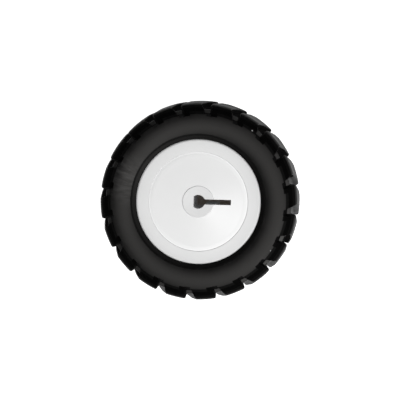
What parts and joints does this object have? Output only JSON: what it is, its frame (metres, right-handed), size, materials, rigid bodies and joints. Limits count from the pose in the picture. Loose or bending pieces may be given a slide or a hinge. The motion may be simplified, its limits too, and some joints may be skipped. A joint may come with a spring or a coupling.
{
  "type": "robot car wheel",
  "caption": "Small drive wheel: a white moulded hub with a split D-shaped shaft hole, carrying a black rubber tyre with slanted tread lugs.",
  "frame": {"origin": "the wheel's centre, on the axle halfway across the tyre", "axes": "+Z along the axle, out of the outer face with the open slit; +X from the axle along the slit"},
  "size_m": [0.043, 0.043, 0.019],
  "materials": {
    "hub_plastic": "white moulded plastic, satin to gloss",
    "tyre_rubber": "black moulded rubber, matt with a soft sheen"
  },
  "bodies": {
    "root": {"hub": "hub_plastic", "tyre": "tyre_rubber"}
  },
  "joints": []
}
